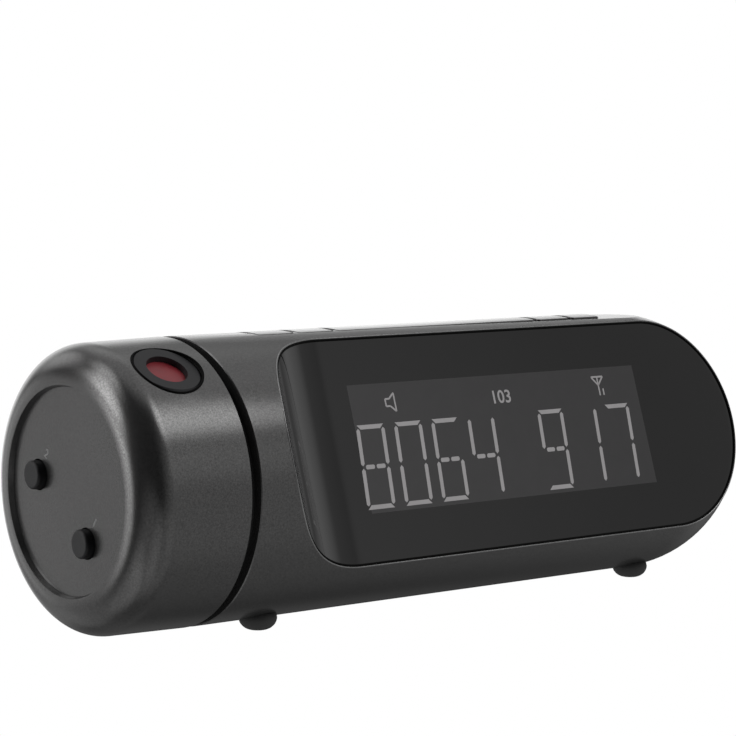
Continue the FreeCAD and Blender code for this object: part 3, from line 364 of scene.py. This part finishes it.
def make_panel():
    radius = BODY_R - PANEL_LIP - PANEL_GAP
    half = math.sqrt(radius ** 2 - PANEL_D ** 2)
    columns = SCOOP_COLUMNS + FLAT_COLUMNS
    verts = []
    for j in range(PANEL_ROWS):
        s = half * math.cos(math.pi * j / (PANEL_ROWS - 1))
        left, right = row_span(radius, s)
        bend = left + (right - left) * SCOOP_SHARE
        for i in range(columns):
            if i < SCOOP_COLUMNS:
                x = left + (bend - left) * i / SCOOP_COLUMNS
            else:
                share = (i - SCOOP_COLUMNS) / (FLAT_COLUMNS - 1)
                x = bend + (right - bend) * share
            verts.append(tilted(x, s, profile_h(x)))
    faces = grid_faces(PANEL_ROWS, columns)
    panel = add_mesh("smoked_panel", verts, faces, PANEL_MATERIAL, "clock_body")
    solid = panel.modifiers.new("thickness", "SOLIDIFY")
    solid.thickness = PANEL_T * MM
    solid.offset = 1.0
    edge = panel.modifiers.new("edge", "BEVEL")
    edge.width = PANEL_EDGE * MM
    edge.segments = PANEL_EDGE_STEPS
    edge.limit_method = "ANGLE"
    edge.angle_limit = math.radians(PANEL_EDGE_ANGLE)
    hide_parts("front_panel")


def opening_loop(radius):
    """The line where the panel's surface meets a radius, once round."""
    half = math.sqrt(radius ** 2 - PANEL_D ** 2)
    straight_end = 0.1 * (CAP_X - SCOOP_X)
    points = []
    for k in range(OPENING_STEPS + 1):
        s = half * math.cos(math.pi * k / OPENING_STEPS)
        left, _ = row_span(radius, s)
        points.append((left, s, profile_h(left)))
    points.append((SCOOP_X + straight_end, -half, PANEL_D))
    points.append((CAP_X - straight_end, -half, PANEL_D))
    for k in range(OPENING_STEPS + 1):
        turn = -math.pi / 2 + math.pi * k / OPENING_STEPS
        points.append((CAP_X + half * math.cos(turn), half * math.sin(turn), PANEL_D))
    points.append((CAP_X - straight_end, half, PANEL_D))
    points.append((SCOOP_X + straight_end, half, PANEL_D))
    return [tilted(*p) for p in points]


def thin_ring(name, points, radius, material, body):
    """A thin round strip along a closed row of points."""
    curve = bpy.data.curves.new(name, "CURVE")
    curve.dimensions = "3D"
    curve.bevel_depth = radius * MM
    curve.bevel_resolution = 3
    spline = curve.splines.new("POLY")
    spline.points.add(len(points) - 1)
    for place, point in zip(spline.points, points):
        place.co = (*point, 1)
    spline.use_cyclic_u = True
    piece = bpy.data.objects.new(name, curve)
    bpy.context.scene.collection.objects.link(piece)
    curve.materials.append(material)
    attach(piece, body)


def make_edges():
    """The body's soft edge around the panel, a bead painted lighter than the body as a painted highlight, and
    near-black strips of painted shadow in the gaps around the panel and the bezel.
    """
    # A bead along the opening's edge in lighter paint: a painted highlight
    edge = opening_loop(BODY_R - OPENING_EDGE_R * OPENING_EDGE_SUNK)
    thin_ring("panel_opening_edge_painted_highlight", edge, OPENING_EDGE_R, EDGE_PAINTED_HIGHLIGHT, "clock_body")
    # A near-black strip of painted shadow in the gap around the panel
    panel_shadow_line = opening_loop(BODY_R - PANEL_LIP - PANEL_GAP)
    thin_ring("panel_gap_painted_shadow", panel_shadow_line, PANEL_SHADOW_LINE_R, PAINTED_GAP_SHADOW, "clock_body")
    # A near-black strip of painted shadow in the gap around the bezel
    ring = []
    for k in range(RING_STEPS):
        turn = 2 * math.pi * k / RING_STEPS
        x = -BEZEL_X + (BEZEL_R + BEZEL_SHADOW_LINE_R / 2) * math.cos(turn)
        y = (BEZEL_R + BEZEL_SHADOW_LINE_R / 2) * math.sin(turn)
        drum_r = BODY_R + x * math.tan(math.radians(DRUM_DRAFT))
        ring.append(on_drum(x, y, math.sqrt(drum_r ** 2 - y ** 2)))
    thin_ring("bezel_gap_painted_shadow", ring, BEZEL_SHADOW_LINE_R, PAINTED_GAP_SHADOW, "projector_head")


# Feet

def foot_profile():
    """Radius and height of a foot's dome, from its flat middle out to its widest."""
    profile = []
    for k in range(DOME_STEPS + 1):
        turn = math.pi / 2 * k / DOME_STEPS
        radius = FOOT_FLAT + (FOOT_R - FOOT_FLAT) * math.sin(turn)
        profile.append((radius, FOOT_WIDEST_AT * (1 - math.cos(turn))))
    return profile


def make_feet():
    steps = FOOT_STEPS
    for name in FEET:
        corners = [NODES[name].matrix_world @ Vector(c) for c in NODES[name].bound_box]
        low = Vector(min(c[i] for c in corners) for i in range(3))
        high = Vector(max(c[i] for c in corners) for i in range(3))
        middle = (low + high) / 2
        tall = (high.z - low.z) / MM
        pad = [(FOOT_R - FOOT_PAD_DRAWN_IN, FOOT_PAD_TOP), (FOOT_PIN_R, FOOT_PAD_TOP)]
        rings = foot_profile() + pad + [(FOOT_PIN_R, tall)]
        verts = []
        for radius, height in rings:
            for k in range(steps):
                turn = 2 * math.pi * k / steps
                step = MM * Vector((radius * math.cos(turn), radius * math.sin(turn), height))
                verts.append(Vector((middle.x, middle.y, low.z)) + step)
        faces = [tuple(reversed(range(steps)))]
        for j in range(len(rings) - 1):
            low_ring = j * steps
            high_ring = low_ring + steps
            for k in range(steps):
                after = (k + 1) % steps
                faces.append((low_ring + k, low_ring + after, high_ring + after, high_ring + k))
        last = (len(rings) - 1) * steps
        faces.append(tuple(last + k for k in range(steps)))
        dome = add_mesh("domed_" + name, verts, faces, RUBBER, "clock_body")
        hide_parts(name)


# Display: the window's pale rectangle and its figures, printed proud of the panel by a hair

def flat_shapes(name, outlines, low, high, material, body, place):
    """Thin plates of given outlines, carried to their place by a function."""
    verts = []
    faces = []
    for outline in outlines:
        base = len(verts)
        count = len(outline)
        verts += [place(u, v, high) for u, v in outline]
        verts += [place(u, v, low) for u, v in outline]
        faces.append(tuple(base + i for i in range(count)))
        faces.append(tuple(base + count + i for i in reversed(range(count))))
        for i in range(count):
            after = (i + 1) % count
            faces.append((base + after, base + i, base + count + i, base + count + after))
    add_mesh(name, verts, faces, material, body, smooth=False)


def on_display(u, v, lift):
    """A point of the display window, from its middle, lifted off the panel."""
    return tilted(DISPLAY_X + u, DISPLAY_UP + v, PANEL_D + lift)


CELL_PITCH = 11.03
CELL_W = 8.2
CELL_H = 19.3
CELL_LEFT = -44.5
CELL_TOP = 5.45
SLANT = 0.070
STROKE = 1.0
SPLIT = 0.28
ICON_STROKE = 0.42
CHANNEL_TEXT = "103"
CHANNEL_H = 3.0
CHANNEL_AT = (0.3, 9.3)


def upright(x, y0, y1):
    """A long vertical stroke with pointed ends, from y0 down to y1."""
    w = STROKE / 2
    return [(x - w, y0 - w), (x, y0), (x + w, y0 - w), (x + w, y1 + w), (x, y1), (x - w, y1 + w)]


def level(x0, x1, y, inward):
    """A horizontal bar whose ends are mitred towards the inside."""
    return [(x0, y), (x1, y), (x1 - STROKE, y - inward * STROKE), (x0 + STROKE, y - inward * STROKE)]


def dash(x0, x1, y):
    """A short middle bar with cut corners."""
    w = STROKE / 2
    cut = w * 0.55
    over = [(x0 + cut, y + w), (x1 - cut, y + w), (x1, y + w - cut), (x1, y - w + cut)]
    under = [(x1 - cut, y - w), (x0 + cut, y - w), (x0, y - w + cut), (x0, y + w - cut)]
    return over + under


def cell_strokes():
    """The strokes of one fourteen-stroke figure, with its top left corner at the origin."""
    right = CELL_W
    low = -CELL_H
    mid = low / 2
    side = STROKE / 2
    return {
        "top": level(SPLIT, right - SPLIT, 0, 1),
        "low": level(SPLIT, right - SPLIT, low, -1),
        "up_left": upright(side, -SPLIT - side, mid + SPLIT),
        "up_right": upright(right - side, -SPLIT - side, mid + SPLIT),
        "low_left": upright(side, mid - SPLIT, low + SPLIT + side),
        "low_right": upright(right - side, mid - SPLIT, low + SPLIT + side),
        "mid_left": dash(STROKE + SPLIT, right / 2 - SPLIT, mid),
        "mid_right": dash(right / 2 + SPLIT, right - STROKE - SPLIT, mid),
    }


ALL_ROUND = ("top", "low", "up_left", "up_right", "low_left", "low_right")
MIDDLE = ("mid_left", "mid_right")
FIGURES = {
    "0": ALL_ROUND,
    "1": ("up_right", "low_right"),
    "2": ("top", "up_right", *MIDDLE, "low_left", "low"),
    "3": ("top", "up_right", *MIDDLE, "low_right", "low"),
    "4": ("up_left", "up_right", *MIDDLE, "low_right"),
    "5": ("top", "up_left", *MIDDLE, "low_right", "low"),
    "6": ("top", "up_left", *MIDDLE, "low_left", "low_right", "low"),
    "7": ("top", "up_right", "low_right"),
    "8": (*ALL_ROUND, *MIDDLE),
    "9": ("top", "up_left", "up_right", *MIDDLE, "low_right", "low"),
}
SHOWN = "8064 917"


def figure_outlines():
    strokes = cell_strokes()
    outlines = []
    for index, figure in enumerate(SHOWN):
        for name in FIGURES.get(figure, ()):
            left = CELL_LEFT + index * CELL_PITCH
            outlines.append([(left + x + SLANT * y, CELL_TOP + y) for x, y in strokes[name]])
    return outlines


def icon_outlines():
    """A loudspeaker on the left and an aerial on the right of the upper row."""

    def stroke(x0, y0, x1, y1):
        length = math.hypot(x1 - x0, y1 - y0)
        nx = -(y1 - y0) / length * ICON_STROKE / 2
        ny = (x1 - x0) / length * ICON_STROKE / 2
        return [(x0 + nx, y0 + ny), (x0 - nx, y0 - ny), (x1 - nx, y1 - ny), (x1 + nx, y1 + ny)]

    speaker = [(-34.6, 11.0), (-33.4, 11.0), (-31.9, 12.3), (-31.9, 8.0), (-33.4, 9.3), (-34.6, 9.3)]
    lines = [(speaker[i], speaker[(i + 1) % 6]) for i in range(6)]
    wings = [((30.4, 12.5), (34.2, 12.5)), ((30.4, 12.5), (32.3, 10.4)), ((34.2, 12.5), (32.3, 10.4))]
    aerial = wings + [((32.3, 12.5), (32.3, 7.9)), ((33.6, 9.5), (33.6, 7.9))]
    return [stroke(*a, *b) for a, b in lines + aerial]


# A capital's height as a share of the font's size, and the outline's swell as a share of its height
CAPITAL_SHARE = 0.69
BOLDNESS = 0.02


def figure_text(name, text, height, spot, material, body, place):
    """Plain figures as a thin plate, centred on a spot."""
    font = bpy.data.curves.new(name, "FONT")
    font.body = text
    font.align_x = "CENTER"
    font.align_y = "CENTER"
    font.size = height / CAPITAL_SHARE
    font.offset = BOLDNESS * height
    font.resolution_u = 4
    font.extrude = INK / 2
    holder = bpy.data.objects.new(name, font)
    bpy.context.scene.collection.objects.link(holder)
    bpy.context.view_layer.update()
    mesh = bpy.data.meshes.new_from_object(holder)
    bpy.data.objects.remove(holder)
    mesh.name = name
    for vertex in mesh.vertices:
        x, y, z = vertex.co
        vertex.co = place(x + spot[0], y + spot[1], z + INK / 2)
    mesh.materials.clear()
    mesh.materials.append(material)
    piece = bpy.data.objects.new(name, mesh)
    bpy.context.scene.collection.objects.link(piece)
    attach(piece, body)


def make_display():
    window = [
        (-DISPLAY_L / 2, -DISPLAY_H / 2),
        (DISPLAY_L / 2, -DISPLAY_H / 2),
        (DISPLAY_L / 2, DISPLAY_H / 2),
        (-DISPLAY_L / 2, DISPLAY_H / 2),
    ]
    flat_shapes("display_window", [window], -INK / 2, INK, WINDOW_MATERIAL,
                "clock_body", on_display)
    marks = figure_outlines() + icon_outlines()
    flat_shapes("display_figures", marks, INK / 2, 2 * INK, MARK_MATERIAL,
                "clock_body", on_display)
    figure_text("display_channel", CHANNEL_TEXT, CHANNEL_H, CHANNEL_AT, MARK_MATERIAL,
                "clock_body", lambda u, v, lift: on_display(u, v, lift + INK))


# Marks on the drum's end: a plain number above each button

DISC_MARK_H = 2.0
DISC_MARK_RISE = 2.6


def on_disc(u, v, lift):
    """A point of the end disc as seen from outside: u to the right, v up, lifted off the disc."""
    return on_drum(DISC_FACE - lift, -u, v, DISC_TURN)


def make_disc_marks():
    height = BUTTON_Z + BUTTON_R + DISC_MARK_RISE
    for u, text in ((BUTTON_Y, "1"), (-BUTTON_Y, "2")):
        figure_text("disc_mark_" + text, text, DISC_MARK_H, (u, height), PRINT,
                    "projector_head", on_disc)


# Room: a white floor and backdrop, soft light and the camera, sizes in metres

FLOOR_REACH = 12.0
BACKDROP_R = 11.0
WHITE_GLOW = 1.0
BLACK = (0.0, 0.0, 0.0)


def stage_material(name, colour, glow):
    material, tree, shader = new_material(name)
    shader.inputs["Base Color"].default_value = (*colour, 1)
    shader.inputs["Roughness"].default_value = 0.9
    shader.inputs["Specular IOR Level"].default_value = 0.0
    shader.inputs["Emission Color"].default_value = (1, 1, 1, 1)
    shader.inputs["Emission Strength"].default_value = glow
    material.cycles.emission_sampling = "NONE"
    return material


def camera_only(piece):
    piece.visible_diffuse = False
    piece.visible_glossy = False
    piece.visible_transmission = False
    piece.visible_volume_scatter = False
    piece.visible_shadow = False


def make_room():
    mesh = bpy.data.meshes.new("floor")
    reach = FLOOR_REACH
    corners = [(-reach, -reach, 0), (reach, -reach, 0), (reach, reach, 0), (-reach, reach, 0)]
    mesh.from_pydata(corners, [], [(0, 1, 2, 3)])
    floor = bpy.data.objects.new("floor", mesh)
    mesh.materials.append(stage_material("pale_floor", BLACK, WHITE_GLOW))
    bpy.context.scene.collection.objects.link(floor)
    camera_only(floor)
    shell = bmesh.new()
    bmesh.ops.create_uvsphere(shell, u_segments=48, v_segments=24, radius=BACKDROP_R)
    dome_mesh = bpy.data.meshes.new("backdrop")
    shell.to_mesh(dome_mesh)
    shell.free()
    dome_mesh.materials.append(stage_material("pale_backdrop", BLACK, WHITE_GLOW))
    dome = bpy.data.objects.new("backdrop", dome_mesh)
    bpy.context.scene.collection.objects.link(dome)
    camera_only(dome)


# Soft lights around the clock, each a round patch of the surroundings. A size is two angles from the
# light's middle: where it has faded out and where it is full.
NARROW = (18, 4)
MEDIUM = (28, 8)
WIDE = (45, 12)
BROAD = (80, 20)

# Each light's azimuth from +X towards +Y, elevation, size and strength
LIGHTS = {
    "strip beside the drum, bottom": (142, -5, NARROW, 2.0),
    "strip beside the drum, lower": (145, 10, NARROW, 1.5),
    "strip beside the drum, bright part": (148, 25, NARROW, 4.0),
    "strip beside the drum, upper": (150, 45, NARROW, 1.1),
    "strip beside the drum, top": (140, 50, NARROW, 1.6),
    "front key, high": (-52, 50, NARROW, 3.5),
    "front fill": (-35, 5, BROAD, 0.45),
    "front right glint": (-5, 15, NARROW, 0.3),
    "front glint": (-60, 20, NARROW, 0.3),
    "right wall": (70, 5, MEDIUM, 1.3),
    "right edge": (40, 8, NARROW, 1.15),
    "right wall, high": (60, 40, MEDIUM, 0.35),
    "back wall, low": (110, -5, NARROW, 0.75),
    "back wall": (105, 25, NARROW, 1.1),
    "back wall, high": (90, 35, MEDIUM, 0.3),
    "ceiling": (50, 75, WIDE, 0.7),
    "bounce behind the drum": (170, -45, MEDIUM, 0.55),
    "bounce beside the drum": (-150, -35, WIDE, 0.35),
    "bounce from the back": (95, -15, MEDIUM, 0.22),
    "bounce from the back, low": (125, -35, MEDIUM, 0.3),
    "bounce from the front": (-100, -45, WIDE, 0.35),
    "bounce from the back, wide": (90, -35, WIDE, 0.14),
    "bounce from the right": (20, -40, WIDE, 0.06),
    "bounce from below": (0, -90, WIDE, 0.15),
}


def light_patch(tree, direction, azimuth, elevation, size, strength):
    """One round patch of soft light in the surroundings."""
    edge, core = size
    around = math.radians(azimuth)
    up = math.radians(elevation)
    middle = (math.cos(up) * math.cos(around), math.cos(up) * math.sin(around), math.sin(up))
    dot = node(tree, "ShaderNodeVectorMath", operation="DOT_PRODUCT")
    dot.inputs[1].default_value = middle
    tree.links.new(direction, dot.inputs[0])
    fade = node(tree, "ShaderNodeMapRange", interpolation_type="SMOOTHSTEP")
    fade.inputs["From Min"].default_value = math.cos(math.radians(edge))
    fade.inputs["From Max"].default_value = math.cos(math.radians(core))
    fade.inputs["To Max"].default_value = strength
    tree.links.new(dot.outputs["Value"], fade.inputs["Value"])
    return fade.outputs["Result"]


def make_lights():
    world = bpy.data.worlds.new("studio")
    bpy.context.scene.world = world
    world.use_nodes = True
    tree = world.node_tree
    place = node(tree, "ShaderNodeTexCoord")
    total = None
    for light in LIGHTS.values():
        value = light_patch(tree, place.outputs["Generated"], *light)
        if total is not None:
            both = node(tree, "ShaderNodeMath", operation="ADD")
            tree.links.new(total, both.inputs[0])
            tree.links.new(value, both.inputs[1])
            value = both.outputs["Value"]
        total = value
    back = tree.nodes["Background"]
    back.inputs["Color"].default_value = (1, 1, 1, 1)
    tree.links.new(total, back.inputs["Strength"])


def make_camera():
    data = bpy.data.cameras.new("photo_camera")
    data.lens = CAMERA_LENS
    data.sensor_width = SENSOR
    data.sensor_fit = "HORIZONTAL"
    data.clip_start = 0.01
    data.clip_end = 100
    camera = bpy.data.objects.new("photo_camera", data)
    azimuth = math.radians(CAMERA_AZIMUTH)
    elevation = math.radians(CAMERA_ELEVATION)
    right = Vector((math.cos(azimuth), math.sin(azimuth), 0))
    level_forward = Vector((-math.sin(azimuth), math.cos(azimuth), 0))
    forward = level_forward * math.cos(elevation) - Vector((0, 0, math.sin(elevation)))
    up = right.cross(forward)
    roll = math.radians(CAMERA_ROLL)
    across = right * math.cos(roll) + up * math.sin(roll)
    up = up * math.cos(roll) - right * math.sin(roll)
    turn = Matrix((across, up, -forward)).transposed()
    camera.matrix_world = Matrix.Translation(at(*CAMERA_AT)) @ turn.to_4x4()
    bpy.context.scene.collection.objects.link(camera)
    bpy.context.scene.camera = camera


def set_view():
    scene = bpy.context.scene
    scene.view_settings.view_transform = "Standard"
    scene.view_settings.look = "None"
    scene.view_settings.exposure = 0.0
    scene.view_settings.gamma = 1.0


dress_nodes()
make_panel()
make_edges()
make_feet()
make_display()
make_disc_marks()
make_room()
make_lights()
make_camera()
set_view()
